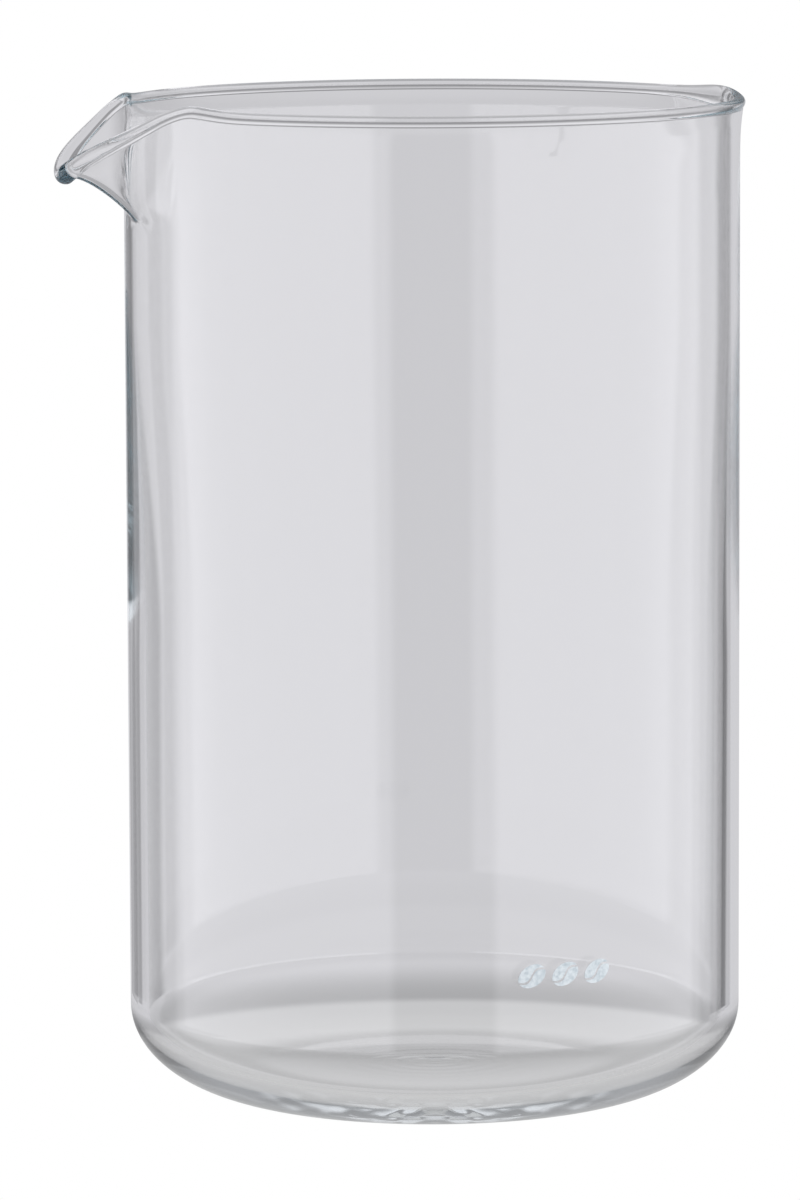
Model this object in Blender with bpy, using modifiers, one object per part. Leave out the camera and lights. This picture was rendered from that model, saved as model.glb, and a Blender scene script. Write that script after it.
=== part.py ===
"""The glass beaker of a twelve-cup press pot: one blown borosilicate piece with a flared rim and a pulled spout.

The origin is at the centre of the flat underside, +Z runs up the vessel's axis and the spout points along -X.
The beaker is turned as a plain round blank. Its softened lip is then flared a little all round and drawn out
and down into the spout, the way a glassworker pulls it. Three coffee beans in fired enamel sit low on the wall
as a mark. All sizes are in metres.
"""

import math

import bmesh
import bpy
import numpy
from mathutils import Matrix

# The vessel
HEIGHT = 0.1895
BODY_RADIUS = 0.058
FLOOR = 0.0040
HEEL_RUN = 0.0260
HEEL_RISE = 0.0172
# The blown wall is thick above the heel and thin from the spout up, with a smooth change between these heights
WALL = 0.0015
LOW_WALL = 0.0032
THICK_BELOW = 0.085
THIN_ABOVE = 0.150
MIDDLE_RADIUS = BODY_RADIUS - WALL / 2

# The rim: a slight outward flare that ends in a fire-polished round edge, with a small soft corner at its foot
EDGE_RADIUS = 0.00105
EDGE_HEIGHT = HEIGHT - EDGE_RADIUS
RIM_RADIUS = MIDDLE_RADIUS + 0.00065
FLARE_RISE = 0.0026
RIM_CORNER = 0.0015

# The spout's lip seen from above: a hyperbola whose rounded point is SPOUT_REACH from the axis
SPOUT_REACH = 0.0716
BEAK_ROUNDING = 0.0120
BEAK_SLOPE = 1.31
SPOUT_HALF_ANGLE = math.radians(45)
# The same lip seen from the front: its drop below the level rim, and the slight rise of each shoulder
LIP_DROP = 0.0117
DROP_ROUNDING = 0.0012
DROP_SLOPE = 0.66
SHOULDER_RISE = 0.0007
SHOULDER_AT = 0.0216
SHOULDER_WIDTH = 0.0067
# The crease where the spout leaves the wall: a V with a rounded point, this far below the rim
CREASE_DROP = 0.0209
CREASE_ROUNDING = 0.0028
CREASE_SLOPE = 0.9
# The crease's corner is tight below the spout's floor, and grows softer out along both sides
CREASE_CORNER = 0.0012
CORNER_GROWTH = 0.013
CORNER_SPREAD = 0.009
# The spout's floor runs straight up from the crease, then curls over towards the lip
CURL_AT = 0.68
CURL_RISE = 0.25
# The lip counts as pulled, and no longer as the level rim, once it has moved about this far
PULL = 0.004
# The spout's flanks are rounded into the wall over this width, away from the lip and from the keel
FLANK_ROUNDING = 0.006
LIP_STAYS = 0.004
LINE_WEIGHTS = ((0.0, 0.28), (-0.5, 0.22), (0.5, 0.22), (-1.0, 0.14), (1.0, 0.14))
# The lip is thickest at the spout's point
POINT_EDGE_RADIUS = 0.0019
POINT_HALF_WIDTH = 0.011
BLEND = 0.002
LIP_BLEND = 0.0003

# How finely the blank is turned, and how far its columns are gathered towards the spout
COLUMNS = 76
GATHER = 0.55
HEEL_STEPS = 7
EDGE_STEPS = 8
WALL_ROWS_BELOW_EDGE = (0.0009, 0.0017, 0.0024, 0.0034, 0.005, 0.0075, 0.011, 0.0155, 0.021, 0.028)
WALL_ROWS = (THICK_BELOW, 0.0975, 0.1085, 0.1195, 0.132, THIN_ABOVE)
UNPULLED_BELOW_EDGE = 0.060

# The enamel mark: three beans in a row, each set just off the wall
MARK_HEIGHT = 0.0315
MARK_ANGLE = math.radians(276)
BEANS = 3
BEAN_PITCH = 0.0066
BEAN_LENGTH = 0.0056
BEAN_WIDTH = 0.0040
BEAN_TILT = math.radians(28)
ENAMEL = 0.0002
ENAMEL_GAP = 0.0003


def clear_scene():
    for obj in list(bpy.data.objects):
        bpy.data.objects.remove(obj, do_unlink=True)


def material(name, colour, roughness, transmission=0.0):
    made = bpy.data.materials.new(name)
    made.use_nodes = True
    shader = made.node_tree.nodes["Principled BSDF"]
    shader.inputs["Base Color"].default_value = (*colour, 1.0)
    shader.inputs["Roughness"].default_value = roughness
    shader.inputs["Metallic"].default_value = 0.0
    shader.inputs["Transmission Weight"].default_value = transmission
    return made


def heel(run, rise):
    """A quarter ellipse from the flat floor out and up to the wall, round the same centre inside and out."""
    turns = [math.pi / 2 * step / HEEL_STEPS for step in range(HEEL_STEPS + 1)]
    flat = BODY_RADIUS - HEEL_RUN
    return [(flat + run * math.sin(turn), HEEL_RISE - rise * math.cos(turn)) for turn in turns]


def wall_heights():
    """The heights of the wall's rows from low to high, close together where the lip will be drawn."""
    return [*WALL_ROWS, *(EDGE_HEIGHT - depth for depth in reversed(WALL_ROWS_BELOW_EDGE))]


def thickness(height):
    """The blown wall's thickness at this height."""
    share = min(max((height - THICK_BELOW) / (THIN_ABOVE - THICK_BELOW), 0.0), 1.0)
    return LOW_WALL + (WALL - LOW_WALL) * share**2 * (3 - 2 * share)


def outer_wall():
    return [(BODY_RADIUS, height) for height in wall_heights()]


def inner_wall():
    return [(BODY_RADIUS - thickness(height), height) for height in wall_heights()]


def edge():
    """Half a circle over the top of the blank's wall, from its inner face to its outer face."""
    turns = [math.pi * (1 - step / EDGE_STEPS) for step in range(EDGE_STEPS + 1)]
    half = WALL / 2
    return [(MIDDLE_RADIUS + half * math.cos(turn), EDGE_HEIGHT + half * math.sin(turn)) for turn in turns]


def blank_profile():
    """The blank's half section, from the middle of the floor, over the rim and back under to the axis."""
    return [
        (0.0, FLOOR),
        *heel(HEEL_RUN - LOW_WALL, HEEL_RISE - FLOOR),
        *inner_wall(),
        *edge(),
        *reversed(outer_wall()),
        *reversed(heel(HEEL_RUN, HEEL_RISE)),
        (0.0, 0.0),
    ]


def turned(name, profile, columns):
    """A turned solid: the profile, in the XZ plane, taken round the Z axis by a Screw modifier."""
    outline = bpy.data.meshes.new(name)
    points = [(radius, 0.0, height) for radius, height in profile]
    outline.from_pydata(points, [(i, i + 1) for i in range(len(points) - 1)], [])
    guide = bpy.data.objects.new(name, outline)
    bpy.context.scene.collection.objects.link(guide)
    screw = guide.modifiers.new("Turn", "SCREW")
    screw.axis = "Z"
    screw.angle = 2 * math.pi
    screw.steps = columns
    screw.render_steps = columns
    screw.use_merge_vertices = True
    screw.merge_threshold = 0.00001
    graph = bpy.context.evaluated_depsgraph_get()
    solid = bpy.data.meshes.new_from_object(guide.evaluated_get(graph))
    bpy.data.objects.remove(guide, do_unlink=True)
    bpy.data.meshes.remove(outline)
    solid.name = name
    return solid


def soft_ramp(value, blend):
    """Zero for negative values and the value itself for positive ones, joined by a parabola."""
    if value <= -blend:
        return 0.0
    if value >= blend:
        return value
    return (value + blend) ** 2 / (4 * blend)


def peak(top, rounding, slope, across):
    """A hyperbola that peaks at across = 0 and falls away on both sides with the given slope."""
    return top + rounding - math.hypot(rounding, slope * across)


def lip_radius(azimuth):
    """How far the middle of the lip is from the axis: the rim's radius or, at the spout, the beak's."""
    if abs(azimuth) >= SPOUT_HALF_ANGLE:
        return RIM_RADIUS
    tip = SPOUT_REACH + BEAK_ROUNDING
    ahead, aside = math.cos(azimuth), BEAK_SLOPE * math.sin(azimuth)
    constant = tip**2 - BEAK_ROUNDING**2
    root = math.sqrt((tip * ahead) ** 2 - (ahead**2 - aside**2) * constant)
    beak = constant / (tip * ahead + root)
    return RIM_RADIUS + soft_ramp(beak - RIM_RADIUS, BLEND)


def lip_drop(azimuth, across):
    """How far the middle of the lip is below the level rim's."""
    if abs(azimuth) >= SPOUT_HALF_ANGLE:
        return 0.0
    shoulder = (abs(across) - SHOULDER_AT) / SHOULDER_WIDTH
    drop = soft_ramp(peak(LIP_DROP, DROP_ROUNDING, DROP_SLOPE, across), BLEND)
    return drop - SHOULDER_RISE * math.exp(-(shoulder**2))


def wall_line(azimuth):
    """The middle of the wall in one half plane through the axis, from the lip down to the untouched wall.

    It gives each point's radius, height and distance from the lip. The line is a Bezier curve whose inner
    corner lies on the crease, then a straight run down the blank.
    """
    radius = lip_radius(azimuth)
    drop = lip_drop(azimuth, radius * math.sin(azimuth))
    crease = peak(CREASE_DROP, CREASE_ROUNDING, CREASE_SLOPE, MIDDLE_RADIUS * math.sin(azimuth))
    rise = FLARE_RISE + soft_ramp(crease - drop - EDGE_RADIUS - FLARE_RISE, BLEND)
    pulled = 1 - math.exp(-((radius - RIM_RADIUS) ** 2 + drop**2) / PULL**2)
    aside = MIDDLE_RADIUS * math.sin(azimuth) / CORNER_SPREAD
    growth = CREASE_CORNER - RIM_CORNER + CORNER_GROWTH * (1 - math.exp(-(aside**2)))
    lip = numpy.array([radius, EDGE_HEIGHT - drop])
    corner = numpy.array([MIDDLE_RADIUS, lip[1] - rise])
    start = corner - (0.0, RIM_CORNER + growth * pulled)
    curl = corner + CURL_AT * (lip - corner) + (0.0, CURL_RISE * (radius - MIDDLE_RADIUS))
    curl[0] += (1 - CURL_AT) * (radius - MIDDLE_RADIUS) * (1 - pulled)
    share = numpy.linspace(0, 1, 33)[:, None]
    rest = 1 - share
    line = rest**3 * lip + 3 * rest**2 * share * curl + 3 * rest * share**2 * corner + share**3 * start
    steps = numpy.hypot(*numpy.diff(line, axis=0).T)
    distance = numpy.concatenate([[0.0], numpy.cumsum(steps), [UNPULLED_BELOW_EDGE]])
    radii = numpy.append(line[:, 0], MIDDLE_RADIUS)
    heights = numpy.append(line[:, 1], EDGE_HEIGHT - UNPULLED_BELOW_EDGE)
    return radii, heights, distance


def line_place(azimuth, depth):
    """The radius and the height at this distance down from the lip on one line of the wall."""
    radii, heights, distance = wall_line(azimuth)
    return numpy.array([numpy.interp(depth, distance, radii), numpy.interp(depth, distance, heights)])


def wall_middle(azimuth, depth):
    """The point in the middle of the wall at this distance down from the lip.

    Below the lip it is the mean of the lines a little to both sides, which rounds the flanks into the wall.
    """
    aside = MIDDLE_RADIUS * math.sin(azimuth) / CORNER_SPREAD
    spread = FLANK_ROUNDING / MIDDLE_RADIUS * (1 - math.exp(-(aside**2)))
    plain = line_place(azimuth, depth)
    mean = sum(weight * line_place(azimuth + step * spread, depth) for step, weight in LINE_WEIGHTS)
    below = 1 - math.exp(-((depth / LIP_STAYS) ** 2))
    radius, height = plain + below * (mean - plain)
    return numpy.array([-radius * math.cos(azimuth), -radius * math.sin(azimuth), height])


def wall_frame(azimuth, depth):
    """The middle of the wall with the directions out of the vessel and up the wall there."""
    turn, slip = 0.004, 0.0001
    high = max(depth - slip, 0.0)
    along = wall_middle(azimuth + turn, depth) - wall_middle(azimuth - turn, depth)
    up = wall_middle(azimuth, high) - wall_middle(azimuth, high + 2 * slip)
    outward = numpy.cross(along, up)
    upward = numpy.cross(outward, along)
    middle = wall_middle(azimuth, depth)
    return middle, outward / numpy.linalg.norm(outward), upward / numpy.linalg.norm(upward)


def half_thickness(azimuth, depth):
    """Half the glass's thickness at this distance below the middle of the lip."""
    across = lip_radius(azimuth) * math.sin(azimuth) / POINT_HALF_WIDTH
    edge_radius = EDGE_RADIUS + (POINT_EDGE_RADIUS - EDGE_RADIUS) * math.exp(-(across**2))
    rounded = math.sqrt(max(edge_radius**2 - depth**2, 0.0))
    return WALL / 2 + soft_ramp(rounded - WALL / 2, LIP_BLEND)


def draw_lip(blank):
    """Moves the top of the blank's wall to where the flare and the spout take it."""
    for vertex in blank.vertices:
        x, y, height = vertex.co
        depth = EDGE_HEIGHT - height
        if depth >= UNPULLED_BELOW_EDGE:
            continue
        azimuth = math.atan2(-y, -x)
        middle, outward, upward = wall_frame(azimuth, max(depth, 0.0))
        scale = half_thickness(azimuth, max(depth, 0.0)) / (WALL / 2)
        across = scale * (math.hypot(x, y) - MIDDLE_RADIUS)
        above = scale * max(-depth, 0.0)
        vertex.co = middle + across * outward + above * upward


def gather_columns(blank):
    """Turns each column of the blank round its axis, closer together towards the spout."""
    for vertex in blank.vertices:
        radius = math.hypot(vertex.co.x, vertex.co.y)
        azimuth = math.atan2(-vertex.co.y, -vertex.co.x)
        azimuth -= GATHER * math.sin(azimuth)
        vertex.co.x = -radius * math.cos(azimuth)
        vertex.co.y = -radius * math.sin(azimuth)


def glass_beaker(collection):
    beaker = turned("glass_beaker", blank_profile(), COLUMNS)
    gather_columns(beaker)
    draw_lip(beaker)
    beaker.shade_smooth()
    beaker.materials.append(material("borosilicate glass", (0.86, 0.87, 0.90), 0.02, transmission=1.0))
    collection.objects.link(bpy.data.objects.new("glass_beaker", beaker))


def enamel_bean(name, angle, enamel, collection):
    """A thin oval pad that stands square to the wall at this angle round the axis."""
    mesh = bpy.data.meshes.new(name)
    shape = bmesh.new()
    bmesh.ops.create_cone(shape, cap_ends=True, segments=32, radius1=0.5, radius2=0.5, depth=ENAMEL)
    bmesh.ops.scale(shape, vec=(BEAN_LENGTH, BEAN_WIDTH, 1.0), verts=shape.verts)
    bmesh.ops.rotate(shape, matrix=Matrix.Rotation(BEAN_TILT, 3, "Z"), verts=shape.verts)
    shape.to_mesh(mesh)
    shape.free()
    mesh.materials.append(enamel)
    mesh.shade_smooth()
    mesh.set_sharp_from_angle(angle=math.radians(40))
    bean = bpy.data.objects.new(name, mesh)
    stand = BODY_RADIUS + ENAMEL_GAP + ENAMEL / 2
    bean.location = (stand * math.cos(angle), stand * math.sin(angle), MARK_HEIGHT)
    bean.rotation_euler = (math.pi / 2, 0.0, angle + math.pi / 2)
    collection.objects.link(bean)


def enamel_mark(collection):
    enamel = material("white fired enamel", (0.90, 0.90, 0.89), 0.35)
    for number in range(BEANS):
        along = (number - (BEANS - 1) / 2) * BEAN_PITCH
        angle = MARK_ANGLE + along / BODY_RADIUS
        enamel_bean(f"enamel_bean_{number + 1}", angle, enamel, collection)


def main():
    clear_scene()
    collection = bpy.data.collections.new("press pot beaker")
    bpy.context.scene.collection.children.link(collection)
    glass_beaker(collection)
    enamel_mark(collection)


main()
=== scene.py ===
"""The looks of a press pot's glass beaker: clear blown glass with a pulled spout and a small fired enamel mark.

The beaker's fine mesh repeats the CAD blank and the way its lip is drawn, with many more rows and columns, and
adds what blowing leaves in the glass. All sizes are in metres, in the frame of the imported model: the origin is at
the centre of the flat underside, +Z runs up the axis and the spout points along -X.
"""

import math

import bmesh
import bpy
import numpy
from mathutils import Euler, Matrix, Vector


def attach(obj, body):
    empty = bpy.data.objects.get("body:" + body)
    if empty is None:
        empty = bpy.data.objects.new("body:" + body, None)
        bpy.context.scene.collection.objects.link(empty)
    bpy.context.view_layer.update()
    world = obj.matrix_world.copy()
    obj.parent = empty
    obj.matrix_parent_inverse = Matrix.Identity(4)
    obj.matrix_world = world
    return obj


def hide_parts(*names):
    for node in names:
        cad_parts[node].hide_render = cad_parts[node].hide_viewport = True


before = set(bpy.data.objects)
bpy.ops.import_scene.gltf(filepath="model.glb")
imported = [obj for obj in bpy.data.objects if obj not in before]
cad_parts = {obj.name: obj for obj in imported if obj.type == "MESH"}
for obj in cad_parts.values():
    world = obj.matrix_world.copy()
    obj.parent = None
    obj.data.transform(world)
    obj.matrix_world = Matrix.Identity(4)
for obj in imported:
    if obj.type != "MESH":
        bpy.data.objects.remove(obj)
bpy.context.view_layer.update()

# The vessel, as in the CAD
HEIGHT = 0.1895
BODY_RADIUS = 0.058
FLOOR = 0.0040
HEEL_RUN = 0.0260
HEEL_RISE = 0.0172
WALL = 0.0015
LOW_WALL = 0.0032
THICK_BELOW = 0.085
THIN_ABOVE = 0.150
MIDDLE_RADIUS = BODY_RADIUS - WALL / 2
EDGE_RADIUS = 0.00105
EDGE_HEIGHT = HEIGHT - EDGE_RADIUS
RIM_RADIUS = MIDDLE_RADIUS + 0.00065
FLARE_RISE = 0.0026
RIM_CORNER = 0.0015

# The spout, as in the CAD
SPOUT_REACH = 0.0716
BEAK_ROUNDING = 0.0120
BEAK_SLOPE = 1.31
SPOUT_HALF_ANGLE = math.radians(45)
LIP_DROP = 0.0117
DROP_ROUNDING = 0.0012
DROP_SLOPE = 0.66
SHOULDER_RISE = 0.0007
SHOULDER_AT = 0.0216
SHOULDER_WIDTH = 0.0067
CREASE_DROP = 0.0209
CREASE_ROUNDING = 0.0028
CREASE_SLOPE = 0.9
CREASE_CORNER = 0.0012
CORNER_GROWTH = 0.013
CORNER_SPREAD = 0.009
CURL_AT = 0.68
CURL_RISE = 0.25
PULL = 0.004
FLANK_ROUNDING = 0.006
LIP_STAYS = 0.004
LINE_WEIGHTS = ((0.0, 0.28), (-0.5, 0.22), (0.5, 0.22), (-1.0, 0.14), (1.0, 0.14))
POINT_EDGE_RADIUS = 0.0019
POINT_HALF_WIDTH = 0.011
BLEND = 0.002
LIP_BLEND = 0.0003
UNPULLED_BELOW_EDGE = 0.060

# How finely the beaker is meshed
COLUMNS = 480
GATHER = 0.55
HEEL_STEPS = 28
EDGE_STEPS = 20
FLOOR_RINGS = 48
UNDERSIDE_RINGS = 8
# The wall in stretches from the heel up: how far below the edge each one ends, and its number of rows
WALL_STRETCHES = ((UNPULLED_BELOW_EDGE, 59), (0.034, 21), (0.006, 63), (0.0, 29))
LINE_POINTS = 97

# The camera: where it stands, how it is turned and its lens
CAMERA_AWAY = 1.400
CAMERA_HEIGHT = 0.27466
CAMERA_AZIMUTH = math.radians(-18.45)
CAMERA_PITCH = 0.1283
CAMERA_PAN = math.radians(0.2588)
CAMERA_ROLL = -0.0040
LENS = 223.2
SENSOR = 36.0


def linear(*levels):
    """A colour of sRGB levels from 0 to 255 as the linear values that Blender's sockets take."""
    shares = [level / 255 for level in levels]
    return tuple(share / 12.92 if share <= 0.04045 else ((share + 0.055) / 1.055) ** 2.4 for share in shares)


# ---------------------------------------------------------------- the drawn lip


def soft_ramp(value, blend):
    """Zero for negative values and the value itself for positive ones, joined by a parabola."""
    if value <= -blend:
        return 0.0
    if value >= blend:
        return value
    return (value + blend) ** 2 / (4 * blend)


def peak(top, rounding, slope, across):
    """A hyperbola that peaks at across = 0 and falls away on both sides with the given slope."""
    return top + rounding - math.hypot(rounding, slope * across)


def lip_radius(azimuth):
    """How far the middle of the lip is from the axis: the rim's radius or, at the spout, the beak's."""
    if abs(azimuth) >= SPOUT_HALF_ANGLE:
        return RIM_RADIUS
    tip = SPOUT_REACH + BEAK_ROUNDING
    ahead, aside = math.cos(azimuth), BEAK_SLOPE * math.sin(azimuth)
    constant = tip**2 - BEAK_ROUNDING**2
    root = math.sqrt((tip * ahead) ** 2 - (ahead**2 - aside**2) * constant)
    beak = constant / (tip * ahead + root)
    return RIM_RADIUS + soft_ramp(beak - RIM_RADIUS, BLEND)


def lip_drop(azimuth, across):
    """How far the middle of the lip is below the level rim's."""
    if abs(azimuth) >= SPOUT_HALF_ANGLE:
        return 0.0
    shoulder = (abs(across) - SHOULDER_AT) / SHOULDER_WIDTH
    drop = soft_ramp(peak(LIP_DROP, DROP_ROUNDING, DROP_SLOPE, across), BLEND)
    return drop - SHOULDER_RISE * math.exp(-(shoulder**2))


def wall_line(azimuth):
    """The middle of the wall in one half plane through the axis, from the lip down to the untouched wall.

    It gives each point's radius, height and distance from the lip. The line is a Bezier curve whose inner
    corner lies on the crease, then a straight run down the blank.
    """
    radius = lip_radius(azimuth)
    drop = lip_drop(azimuth, radius * math.sin(azimuth))
    crease = peak(CREASE_DROP, CREASE_ROUNDING, CREASE_SLOPE, MIDDLE_RADIUS * math.sin(azimuth))
    rise = FLARE_RISE + soft_ramp(crease - drop - EDGE_RADIUS - FLARE_RISE, BLEND)
    pulled = 1 - math.exp(-((radius - RIM_RADIUS) ** 2 + drop**2) / PULL**2)
    aside = MIDDLE_RADIUS * math.sin(azimuth) / CORNER_SPREAD
    growth = CREASE_CORNER - RIM_CORNER + CORNER_GROWTH * (1 - math.exp(-(aside**2)))
    lip = numpy.array([radius, EDGE_HEIGHT - drop])
    corner = numpy.array([MIDDLE_RADIUS, lip[1] - rise])
    start = corner - (0.0, RIM_CORNER + growth * pulled)
    curl = corner + CURL_AT * (lip - corner) + (0.0, CURL_RISE * (radius - MIDDLE_RADIUS))
    curl[0] += (1 - CURL_AT) * (radius - MIDDLE_RADIUS) * (1 - pulled)
    share = numpy.linspace(0, 1, LINE_POINTS)[:, None]
    rest = 1 - share
    line = rest**3 * lip + 3 * rest**2 * share * curl + 3 * rest * share**2 * corner + share**3 * start
    steps = numpy.hypot(*numpy.diff(line, axis=0).T)
    distance = numpy.concatenate([[0.0], numpy.cumsum(steps), [UNPULLED_BELOW_EDGE]])
    radii = numpy.append(line[:, 0], MIDDLE_RADIUS)
    heights = numpy.append(line[:, 1], EDGE_HEIGHT - UNPULLED_BELOW_EDGE)
    return radii, heights, distance


def line_places(azimuth, depths):
    """The radii and the heights at these distances down from the lip on one line of the wall."""
    radii, heights, distance = wall_line(azimuth)
    return numpy.array([numpy.interp(depths, distance, radii), numpy.interp(depths, distance, heights)])


def wall_middle(azimuth, depths):
    """The points in the middle of the wall at these distances down from the lip.

    Below the lip they are the mean of the lines a little to both sides, which rounds the flanks into the wall.
    """
    aside = MIDDLE_RADIUS * math.sin(azimuth) / CORNER_SPREAD
    spread = FLANK_ROUNDING / MIDDLE_RADIUS * (1 - math.exp(-(aside**2)))
    plain = line_places(azimuth, depths)
    mean = sum(weight * line_places(azimuth + step * spread, depths) for step, weight in LINE_WEIGHTS)
    below = 1 - numpy.exp(-((depths / LIP_STAYS) ** 2))
    radius, height = plain + below * (mean - plain)
    return numpy.stack([-radius * math.cos(azimuth), -radius * math.sin(azimuth), height], axis=1)


def unit(vectors):
    return vectors / numpy.linalg.norm(vectors, axis=1)[:, None]


def wall_frame(azimuth, depths):
    """The middle of the wall with the directions out of the vessel and up the wall there."""
    turn, slip = 0.002, 0.0002
    high = numpy.maximum(depths - slip, 0.0)
    along = wall_middle(azimuth + turn, depths) - wall_middle(azimuth - turn, depths)
    up = wall_middle(azimuth, high) - wall_middle(azimuth, high + 2 * slip)
    outward = numpy.cross(along, up)
    upward = numpy.cross(outward, along)
    return wall_middle(azimuth, depths), unit(outward), unit(upward)


def soft_ramps(values, blend):
    """The soft ramp of many values at once."""
    middle = (values + blend) ** 2 / (4 * blend)
    return numpy.where(values <= -blend, 0.0, numpy.where(values >= blend, values, middle))


def half_thickness(azimuth, depths):
    """Half the glass's thickness at these distances below the middle of the lip."""
    across = lip_radius(azimuth) * math.sin(azimuth) / POINT_HALF_WIDTH
    edge_radius = EDGE_RADIUS + (POINT_EDGE_RADIUS - EDGE_RADIUS) * math.exp(-(across**2))
    rounded = numpy.sqrt(numpy.maximum(edge_radius**2 - depths**2, 0.0))
    return WALL / 2 + soft_ramps(rounded - WALL / 2, LIP_BLEND)


# ---------------------------------------------------------------- the beaker

# What blowing leaves in the glass: the wall is a little thicker and thinner in slow waves up and round the
# vessel, each with its size, its turns round the axis, its length up the wall and its start. They end this far
# below the lip and fade out over this height.
WAVES = (
    (0.00003, 1, 0.42, 0.6),
    (0.00003, 2, 0.23, 2.2),
    (0.00002, 3, 0.16, 4.1),
    (0.000016, 5, 0.31, 1.3),
    (0.000008, 9, 0.45, 3.0),
    (0.000004, 17, 0.55, 5.2),
)
WAVES_END = 0.004
WAVES_FADE = 0.030
# The floor's middle keeps faint rings from the mould, round a shallow dip
DIP = 0.00020
DIP_RADIUS = 0.0085
RING = 0.00003
RING_PITCH = 0.0042
RINGS_FADE = 0.014


# The glass: its refraction and the tint of its depth
GLASS_IOR = 1.473
GLASS_TINT = (0.83, 0.893, 0.912, 1.0)
GLASS_DENSITY = 6.0
# Its surface's upright draw lines: their relief, their scale and how far they are stretched up the wall
DRAW_LINES = 0.000003
DRAW_LINE_SCALE = 60.0
DRAW_LINE_STRETCH = (1.0, 1.0, 0.12)
# The roughness where it is most handled, the scale of such patches, and the noise levels they run between
HAZE = 0.008
HAZE_SCALE = 28.0
HAZE_LEVELS = (0.35, 0.75)


def thickness(heights):
    """The blown wall's thickness at these heights."""
    share = numpy.clip((heights - THICK_BELOW) / (THIN_ABOVE - THICK_BELOW), 0.0, 1.0)
    return LOW_WALL + (WALL - LOW_WALL) * share**2 * (3 - 2 * share)


def waves(azimuth, heights):
    """How much thicker the blown wall is than its plain taper at these heights."""
    total = sum(
        size * numpy.sin(turns * azimuth + start + 2 * math.pi * heights / length)
        for size, turns, length, start in WAVES
    )
    from_heel = numpy.clip(heights / HEEL_RISE, 0.0, 1.0)
    from_lip = numpy.clip((EDGE_HEIGHT - WAVES_END - heights) / WAVES_FADE, 0.0, 1.0)
    return total * from_heel**2 * from_lip * thickness(heights) / LOW_WALL


def wall_heights():
    """The heights of the wall's rows from the heel to the lip, closest together near the lip."""
    heights = [HEEL_RISE]
    for depth, rows in WALL_STRETCHES:
        heights += numpy.linspace(heights[-1], EDGE_HEIGHT - depth, rows + 1)[1:].tolist()
    return numpy.array(heights[1:-1])


def floor_height(radii):
    """The inner floor's height, with the dip and the rings in its middle."""
    dip = DIP * numpy.exp(-((radii / DIP_RADIUS) ** 2))
    rings = RING * numpy.cos(2 * math.pi * radii / RING_PITCH) * numpy.exp(-((radii / RINGS_FADE) ** 2))
    return FLOOR - dip + rings


def blank_profile():
    """The blank's half section as radii and heights, from the floor's middle over the rim to the underside's."""
    turns = numpy.linspace(0, math.pi / 2, HEEL_STEPS + 1)
    flat = BODY_RADIUS - HEEL_RUN
    rings = numpy.linspace(0, flat, FLOOR_RINGS + 1)[1:-1]
    heights = wall_heights()
    edge_turns = numpy.linspace(math.pi, 0, EDGE_STEPS + 1)
    under = numpy.linspace(flat, 0, UNDERSIDE_RINGS + 1)[1:-1]
    stretches = [
        (rings, floor_height(rings)),
        (flat + (HEEL_RUN - LOW_WALL) * numpy.sin(turns), HEEL_RISE - (HEEL_RISE - FLOOR) * numpy.cos(turns)),
        (BODY_RADIUS - thickness(heights), heights),
        (MIDDLE_RADIUS + WALL / 2 * numpy.cos(edge_turns), EDGE_HEIGHT + WALL / 2 * numpy.sin(edge_turns)),
        (numpy.full(len(heights), BODY_RADIUS), heights[::-1]),
        (flat + HEEL_RUN * numpy.sin(turns[::-1]), HEEL_RISE - HEEL_RISE * numpy.cos(turns[::-1])),
        (under, numpy.zeros(len(under))),
    ]
    radii, rows = zip(*stretches)
    inner_rows = len(rings) + len(turns) + len(heights)
    return numpy.concatenate(radii), numpy.concatenate(rows), inner_rows


def drawn_column(azimuth, radii, heights, inner_rows):
    """One column of the blank, at this azimuth, with its top drawn to where the flare and the spout take it."""
    radii = radii.copy()
    radii[:inner_rows] -= waves(azimuth, heights[:inner_rows])
    depths = EDGE_HEIGHT - heights
    points = numpy.stack([-radii * math.cos(azimuth), -radii * math.sin(azimuth), heights], axis=1)
    pulled = depths < UNPULLED_BELOW_EDGE
    below = numpy.maximum(depths[pulled], 0.0)
    middle, outward, upward = wall_frame(azimuth, below)
    scale = half_thickness(azimuth, below) / (WALL / 2)
    across = scale * (radii[pulled] - MIDDLE_RADIUS)
    above = scale * numpy.maximum(-depths[pulled], 0.0)
    points[pulled] = middle + across[:, None] * outward + above[:, None] * upward
    return points


def beaker_mesh():
    """The closed skin of the beaker, column by column round the axis."""
    radii, heights, inner_rows = blank_profile()
    turns = 2 * math.pi * numpy.arange(COLUMNS) / COLUMNS
    azimuths = turns - GATHER * numpy.sin(turns)
    azimuths = (azimuths + math.pi) % (2 * math.pi) - math.pi
    drawn = [drawn_column(azimuth, radii, heights, inner_rows) for azimuth in azimuths]
    rows = len(radii)
    middles = numpy.array([[0.0, 0.0, floor_height(numpy.array(0.0))], [0.0, 0.0, 0.0]])
    points = numpy.concatenate([*drawn, middles])
    floor_middle, under_middle = COLUMNS * rows, COLUMNS * rows + 1
    faces = []
    for column in range(COLUMNS):
        here, beside = column * rows, (column + 1) % COLUMNS * rows
        faces.append((floor_middle, here, beside))
        faces += [(here + row, here + row + 1, beside + row + 1, beside + row) for row in range(rows - 1)]
        faces.append((under_middle, beside + rows - 1, here + rows - 1))
    mesh = bpy.data.meshes.new("glass_beaker_blown")
    mesh.from_pydata(points.tolist(), [], faces)
    mesh.shade_smooth()
    return mesh


def new_material(name):
    made = bpy.data.materials.new(name)
    made.use_nodes = True
    return made, made.node_tree.nodes, made.node_tree.links


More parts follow.
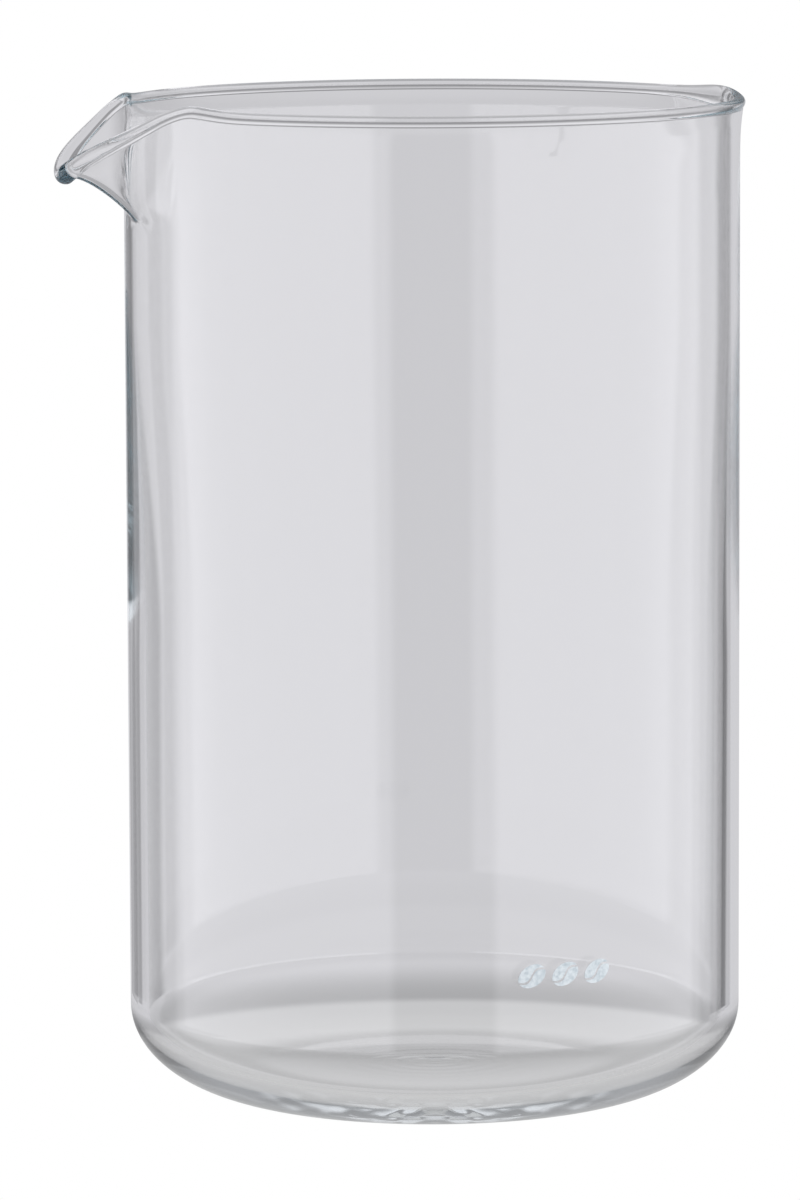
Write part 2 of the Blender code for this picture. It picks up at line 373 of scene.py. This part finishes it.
def glass_material():
    """Clear glass with faint upright draw lines and, here and there, the slightest haze of handling."""
    made, nodes, links = new_material("borosilicate_glass")
    shader = nodes["Principled BSDF"]
    shader.inputs["Base Color"].default_value = (1.0, 1.0, 1.0, 1.0)
    shader.inputs["Transmission Weight"].default_value = 1.0
    shader.inputs["IOR"].default_value = GLASS_IOR
    place = nodes.new("ShaderNodeTexCoord")
    stretch = nodes.new("ShaderNodeMapping")
    stretch.inputs["Scale"].default_value = DRAW_LINE_STRETCH
    links.new(place.outputs["Object"], stretch.inputs["Vector"])
    lines = nodes.new("ShaderNodeTexNoise")
    lines.inputs["Scale"].default_value = DRAW_LINE_SCALE
    lines.inputs["Detail"].default_value = 2.0
    links.new(stretch.outputs["Vector"], lines.inputs["Vector"])
    drawn = nodes.new("ShaderNodeBump")
    drawn.inputs["Strength"].default_value = 0.5
    drawn.inputs["Distance"].default_value = DRAW_LINES
    links.new(lines.outputs["Fac"], drawn.inputs["Height"])
    links.new(drawn.outputs["Normal"], shader.inputs["Normal"])
    haze = nodes.new("ShaderNodeTexNoise")
    haze.inputs["Scale"].default_value = HAZE_SCALE
    haze.inputs["Detail"].default_value = 5.0
    links.new(place.outputs["Object"], haze.inputs["Vector"])
    roughness = nodes.new("ShaderNodeMapRange")
    roughness.inputs["From Min"].default_value = HAZE_LEVELS[0]
    roughness.inputs["From Max"].default_value = HAZE_LEVELS[1]
    roughness.inputs["To Min"].default_value = 0.0
    roughness.inputs["To Max"].default_value = HAZE
    links.new(haze.outputs["Fac"], roughness.inputs["Value"])
    links.new(roughness.outputs["Result"], shader.inputs["Roughness"])
    volume = nodes.new("ShaderNodeVolumeAbsorption")
    volume.inputs["Color"].default_value = GLASS_TINT
    volume.inputs["Density"].default_value = GLASS_DENSITY
    links.new(volume.outputs["Volume"], nodes["Material Output"].inputs["Volume"])
    return made


def add_object(name, mesh, material):
    made = bpy.data.objects.new(name, mesh)
    bpy.context.scene.collection.objects.link(made)
    mesh.materials.append(material)
    return made


beaker = add_object("glass_beaker_blown", beaker_mesh(), glass_material())
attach(beaker, "root")
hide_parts("glass_beaker")

# ---------------------------------------------------------------- the enamel mark

# The mark, as in the CAD but as thin as a fired print
MARK_HEIGHT = 0.0315
MARK_ANGLE = math.radians(276)
BEANS = 3
BEAN_PITCH = 0.0066
BEAN_LENGTH = 0.0056
BEAN_WIDTH = 0.0040
BEAN_TILT = math.radians(28)
ENAMEL = 0.00006
ENAMEL_OFF_GLASS = 0.00003
# The curled fold between a bean's halves: its width and how far it swings to each side
BEAN_GAP = 0.00042
BEAN_CURL = 0.00062
# How finely half a bean is meshed, and how near its rows come to its two tips
BEAN_ROWS = 36
BEAN_COLUMNS = 10
BEAN_TIPS = math.radians(87)
# The enamel's mottle where the print lies thinner: its scale, relief and two colours with their noise levels
MOTTLE_SCALE = 1400.0
MOTTLE_RELIEF = 0.00002
THIN_ENAMEL = (0.30, linear(190, 202, 208))
FULL_ENAMEL = (0.62, linear(222, 230, 234))


def bean_half(side):
    """One half of a bean as rows of (along, across) points from its fold's side out to its edge."""
    turns = numpy.linspace(-1, 1, BEAN_ROWS + 1) * BEAN_TIPS
    along = BEAN_LENGTH / 2 * numpy.sin(turns)
    edge = side * BEAN_WIDTH / 2 * numpy.cos(turns)
    fold = BEAN_CURL * numpy.sin(math.pi * along / (BEAN_LENGTH / 2)) + side * BEAN_GAP / 2
    fold = side * numpy.minimum(side * fold, side * edge)
    shares = numpy.linspace(0, 1, BEAN_COLUMNS + 1)
    across = fold[:, None] + (edge - fold)[:, None] * shares
    return numpy.repeat(along[:, None], BEAN_COLUMNS + 1, axis=1), across


def bean_mesh(name, angle):
    """A bean in two halves either side of its curled fold, fired onto the wall at this angle round the axis."""
    shape = bmesh.new()
    for side in (-1, 1):
        along, across = bean_half(side)
        tangent = along * math.cos(BEAN_TILT) - across * math.sin(BEAN_TILT)
        rise = along * math.sin(BEAN_TILT) + across * math.cos(BEAN_TILT)
        turned = angle + tangent / BODY_RADIUS
        grid = []
        for lift in (ENAMEL_OFF_GLASS, ENAMEL_OFF_GLASS + ENAMEL):
            radius = BODY_RADIUS + lift
            place = [radius * numpy.cos(turned), radius * numpy.sin(turned), MARK_HEIGHT + rise]
            layer = numpy.stack(place, axis=2)
            grid.append([[shape.verts.new(point) for point in row] for row in layer.tolist()])
        under, over = grid
        rows, columns = BEAN_ROWS, BEAN_COLUMNS
        for row in range(rows):
            for column in range(columns):
                for layer in (over, under):
                    corners = (layer[row][column], layer[row + 1][column])
                    shape.faces.new((*corners, layer[row + 1][column + 1], layer[row][column + 1]))
            for column in (0, columns):
                shape.faces.new(
                    (under[row][column], under[row + 1][column], over[row + 1][column], over[row][column])
                )
        for column in range(columns):
            for row in (0, rows):
                shape.faces.new(
                    (under[row][column], under[row][column + 1], over[row][column + 1], over[row][column])
                )
    bmesh.ops.recalc_face_normals(shape, faces=shape.faces)
    mesh = bpy.data.meshes.new(name)
    shape.to_mesh(mesh)
    shape.free()
    mesh.shade_smooth()
    mesh.set_sharp_from_angle(angle=math.radians(40))
    return mesh


def enamel_material():
    """White fired enamel, a little uneven where the print lies thinner."""
    made, nodes, links = new_material("white_fired_enamel")
    shader = nodes["Principled BSDF"]
    shader.inputs["Roughness"].default_value = 0.32
    shader.inputs["IOR"].default_value = 1.52
    place = nodes.new("ShaderNodeTexCoord")
    mottle = nodes.new("ShaderNodeTexNoise")
    mottle.inputs["Scale"].default_value = MOTTLE_SCALE
    mottle.inputs["Detail"].default_value = 4.0
    links.new(place.outputs["Object"], mottle.inputs["Vector"])
    colours = nodes.new("ShaderNodeValToRGB")
    for element, (position, colour) in zip(colours.color_ramp.elements, (THIN_ENAMEL, FULL_ENAMEL)):
        element.position = position
        element.color = (*colour, 1.0)
    links.new(mottle.outputs["Fac"], colours.inputs["Fac"])
    links.new(colours.outputs["Color"], shader.inputs["Base Color"])
    grain = nodes.new("ShaderNodeBump")
    grain.inputs["Strength"].default_value = 0.25
    grain.inputs["Distance"].default_value = MOTTLE_RELIEF
    links.new(mottle.outputs["Fac"], grain.inputs["Height"])
    links.new(grain.outputs["Normal"], shader.inputs["Normal"])
    return made


enamel = enamel_material()
for number in range(BEANS):
    along_wall = (number - (BEANS - 1) / 2) * BEAN_PITCH
    name = f"enamel_bean_{number + 1}"
    bean = add_object(name + "_fired", bean_mesh(name + "_fired", MARK_ANGLE + along_wall / BODY_RADIUS), enamel)
    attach(bean, "root")
    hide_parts(name)

# ---------------------------------------------------------------- the stage

# The studio round the vessel, as brightness. Its middle band goes by azimuth in degrees from the room's front:
# each panel's two edges, the softness of its edges, and how far its level is above or below the backdrop's.
BACKDROP = 0.62
PANELS = (
    (-15.6, 23.0, 2.5, 0.43 - BACKDROP),
    (-114.0, -15.6, 2.5, 1.30 - BACKDROP),
    (23.0, 119.0, 2.5, 1.30 - BACKDROP),
    (134.0, 150.0, 2.0, 0.15 - BACKDROP),
    (-167.0, -153.0, 1.5, 0.24 - BACKDROP),
)
# A dark sill runs round the room just above the middle band: its brightness at the sides and behind the vessel
SILL = (0.06, 0.28)
# Above and below them, each with its brightness in the front of the room and behind the vessel
CEILING = (0.55, 0.80)
GROUND = (0.95, 0.40)
OVERHEAD = 0.50
COOL = (1.005, 1.0, 1.04)
# Where one zone turns softly into the next: the sines of the heights at which it starts and ends to turn
SILL_EDGE = (-0.02, 0.02)
CEILING_EDGE = (0.13, 0.42)
OVERHEAD_EDGE = (0.70, 0.86)
GROUND_EDGE = (-0.38, -0.52)
# Where the room's front turns into its back, and the sill's sides into its back, as shares of the way back
ROOM_TURN = (-0.4, 0.4)
SILL_TURN = (0.5, 0.95)


def studio_world():
    """The room that the glass reflects and refracts; to the camera itself the background is plain white."""
    world = bpy.data.worlds.new("studio")
    bpy.context.scene.world = world
    world.use_nodes = True
    nodes, links = world.node_tree.nodes, world.node_tree.links
    nodes.clear()

    def math_node(operation, first, second=None):
        node = nodes.new("ShaderNodeMath")
        node.operation = operation
        for socket, value in zip(node.inputs, (first, second)):
            if value is None:
                continue
            if isinstance(value, (int, float)):
                socket.default_value = value
            else:
                links.new(value, socket)
        return node.outputs[0]

    def smooth(value, start, end):
        node = nodes.new("ShaderNodeMapRange")
        node.interpolation_type = "SMOOTHSTEP"
        links.new(value, node.inputs["Value"])
        node.inputs["From Min"].default_value = start
        node.inputs["From Max"].default_value = end
        return node.outputs["Result"]

    def mixed(first, second, share):
        rest = math_node("SUBTRACT", 1.0, share)
        return math_node("ADD", math_node("MULTIPLY", first, rest), math_node("MULTIPLY", share, second))

    where = nodes.new("ShaderNodeTexCoord")
    turn = nodes.new("ShaderNodeVectorRotate")
    turn.rotation_type = "Z_AXIS"
    turn.inputs["Angle"].default_value = -CAMERA_AZIMUTH
    links.new(where.outputs["Generated"], turn.inputs["Vector"])
    parts = nodes.new("ShaderNodeSeparateXYZ")
    links.new(turn.outputs["Vector"], parts.inputs["Vector"])
    right, ahead, up = parts.outputs
    towards_camera = math_node("MULTIPLY", ahead, -1.0)
    azimuth = math_node("ARCTAN2", right, towards_camera)
    degrees = math_node("MULTIPLY", azimuth, 180 / math.pi)

    total = None
    for low, high, soft, change in PANELS:
        start = smooth(degrees, low - soft, low + soft)
        end = smooth(degrees, high - soft, high + soft)
        inside = math_node("SUBTRACT", start, end)
        part = math_node("MULTIPLY", inside, change)
        total = part if total is None else math_node("ADD", total, part)
    behind = smooth(ahead, *ROOM_TURN)
    level = math_node("ADD", total, BACKDROP)
    level = mixed(level, mixed(*SILL, smooth(ahead, *SILL_TURN)), smooth(up, *SILL_EDGE))
    level = mixed(level, mixed(*CEILING, behind), smooth(up, *CEILING_EDGE))
    level = mixed(level, OVERHEAD, smooth(up, *OVERHEAD_EDGE))
    level = mixed(level, mixed(*GROUND, behind), smooth(up, *GROUND_EDGE))

    tint = nodes.new("ShaderNodeVectorMath")
    tint.operation = "SCALE"
    tint.inputs[0].default_value = COOL
    links.new(level, tint.inputs["Scale"])

    lit = nodes.new("ShaderNodeBackground")
    links.new(tint.outputs[0], lit.inputs["Color"])
    seen = nodes.new("ShaderNodeBackground")
    seen.inputs["Color"].default_value = (1.0, 1.0, 1.0, 1.0)
    path = nodes.new("ShaderNodeLightPath")
    mix = nodes.new("ShaderNodeMixShader")
    links.new(path.outputs["Is Camera Ray"], mix.inputs["Fac"])
    links.new(lit.outputs[0], mix.inputs[1])
    links.new(seen.outputs[0], mix.inputs[2])
    output = nodes.new("ShaderNodeOutputWorld")
    links.new(mix.outputs[0], output.inputs["Surface"])


# The table top under the vessel: its radius, its painted brightness at these distances from the axis (painted light
# under the vessel and a painted soft shadow ring round it), and how far it and the white floor lie below the vessel
TABLE_RADIUS = 0.130
TABLE_PAINTED_LIGHT_RINGS = (
    # Painted light and shade: a little darker at the very middle, a painted bright pool under the vessel, then a
    # painted shadow ring that fades to the backdrop
    (0.0, (0.52, 0.52, 0.52)),
    (0.050, (0.59, 0.59, 0.595)),
    (0.071, (0.59, 0.59, 0.60)),
    (0.079, (0.40, 0.40, 0.41)),
    (TABLE_RADIUS, tuple(BACKDROP * share for share in COOL)),
)
TABLE_SEGMENTS = 128
TABLE_DROP = 0.0003
FLOOR_DROP = 0.0006
FLOOR_SIZE = 6.0


def glow_material(name, colour):
    """A surface of one even brightness."""
    made, nodes, links = new_material(name)
    nodes.remove(nodes["Principled BSDF"])
    glow = nodes.new("ShaderNodeEmission")
    glow.inputs["Color"].default_value = (*colour, 1.0)
    links.new(glow.outputs[0], nodes["Material Output"].inputs["Surface"])
    return made


def painted_light_table_material():
    """A pale table top, bright under the vessel with painted light and with the vessel's soft shadow painted round
    it.
    """
    made, nodes, links = new_material("pale_table_painted_light_and_shadow")
    nodes.remove(nodes["Principled BSDF"])
    place = nodes.new("ShaderNodeTexCoord")
    away = nodes.new("ShaderNodeVectorMath")
    away.operation = "LENGTH"
    links.new(place.outputs["Object"], away.inputs[0])
    share = nodes.new("ShaderNodeMath")
    share.operation = "DIVIDE"
    share.inputs[1].default_value = TABLE_RADIUS
    links.new(away.outputs["Value"], share.inputs[0])
    # The ramp paints the light under the vessel and the shadow round it, by distance from the axis, as glow
    rings = nodes.new("ShaderNodeValToRGB")
    rings.color_ramp.interpolation = "EASE"
    while len(rings.color_ramp.elements) < len(TABLE_PAINTED_LIGHT_RINGS):
        rings.color_ramp.elements.new(0.5)
    for element, (radius, colour) in zip(rings.color_ramp.elements, TABLE_PAINTED_LIGHT_RINGS):
        element.position = radius / TABLE_RADIUS
        element.color = (*colour, 1.0)
    links.new(share.outputs[0], rings.inputs["Fac"])
    glow = nodes.new("ShaderNodeEmission")
    links.new(rings.outputs["Color"], glow.inputs["Color"])
    links.new(glow.outputs[0], nodes["Material Output"].inputs["Surface"])
    return made


def studio_floor():
    """A white floor for the camera, and for the glass the pale table top that it stands on, which is smaller."""
    mesh = bpy.data.meshes.new("studio_floor")
    shape = bmesh.new()
    bmesh.ops.create_grid(shape, x_segments=1, y_segments=1, size=FLOOR_SIZE)
    shape.to_mesh(mesh)
    shape.free()
    floor = add_object("studio_floor", mesh, glow_material("white_floor", (1.0, 1.0, 1.0)))
    floor.location.z = -FLOOR_DROP
    floor.visible_diffuse = floor.visible_glossy = floor.visible_transmission = False
    mesh = bpy.data.meshes.new("studio_table")
    shape = bmesh.new()
    bmesh.ops.create_circle(shape, cap_ends=True, segments=TABLE_SEGMENTS, radius=TABLE_RADIUS)
    shape.to_mesh(mesh)
    shape.free()
    table = add_object("studio_table", mesh, painted_light_table_material())
    table.location.z = -TABLE_DROP
    table.visible_camera = False


def camera():
    """The camera of the main picture."""
    lens = bpy.data.cameras.new("camera")
    lens.lens = LENS
    lens.sensor_width = SENSOR
    lens.clip_start = 0.05
    lens.clip_end = 50
    made = bpy.data.objects.new("camera", lens)
    bpy.context.scene.collection.objects.link(made)
    made.location = (
        CAMERA_AWAY * math.sin(CAMERA_AZIMUTH),
        -CAMERA_AWAY * math.cos(CAMERA_AZIMUTH),
        CAMERA_HEIGHT,
    )
    turn = Euler((math.pi / 2 - CAMERA_PITCH, 0.0, CAMERA_AZIMUTH + CAMERA_PAN), "XYZ").to_matrix()
    made.rotation_euler = (turn @ Matrix.Rotation(CAMERA_ROLL, 3, "Z")).to_euler()
    bpy.context.scene.camera = made


KEY_POWER = 16.0
KEY_SIZE = 0.8
KEY_PLACE = (0.3, -1.2, 1.1)


def key_light():
    """A soft light that only matt surfaces take: the glass is lit by the studio round it."""
    light = bpy.data.lights.new("key_light", "AREA")
    light.shape = "DISK"
    light.size = KEY_SIZE
    light.energy = KEY_POWER
    made = bpy.data.objects.new("key_light", light)
    bpy.context.scene.collection.objects.link(made)
    made.location = KEY_PLACE
    made.rotation_euler = (-Vector(KEY_PLACE)).to_track_quat("-Z", "Y").to_euler()
    made.visible_glossy = made.visible_transmission = made.visible_camera = False


# Enough bounces for light that is piped round inside the wall
BOUNCES = 1000

studio_world()
studio_floor()
key_light()
camera()
bpy.context.scene.view_settings.view_transform = "Standard"
bpy.context.scene.cycles.max_bounces = BOUNCES
bpy.context.scene.cycles.transmission_bounces = BOUNCES
bpy.context.scene.cycles.glossy_bounces = BOUNCES
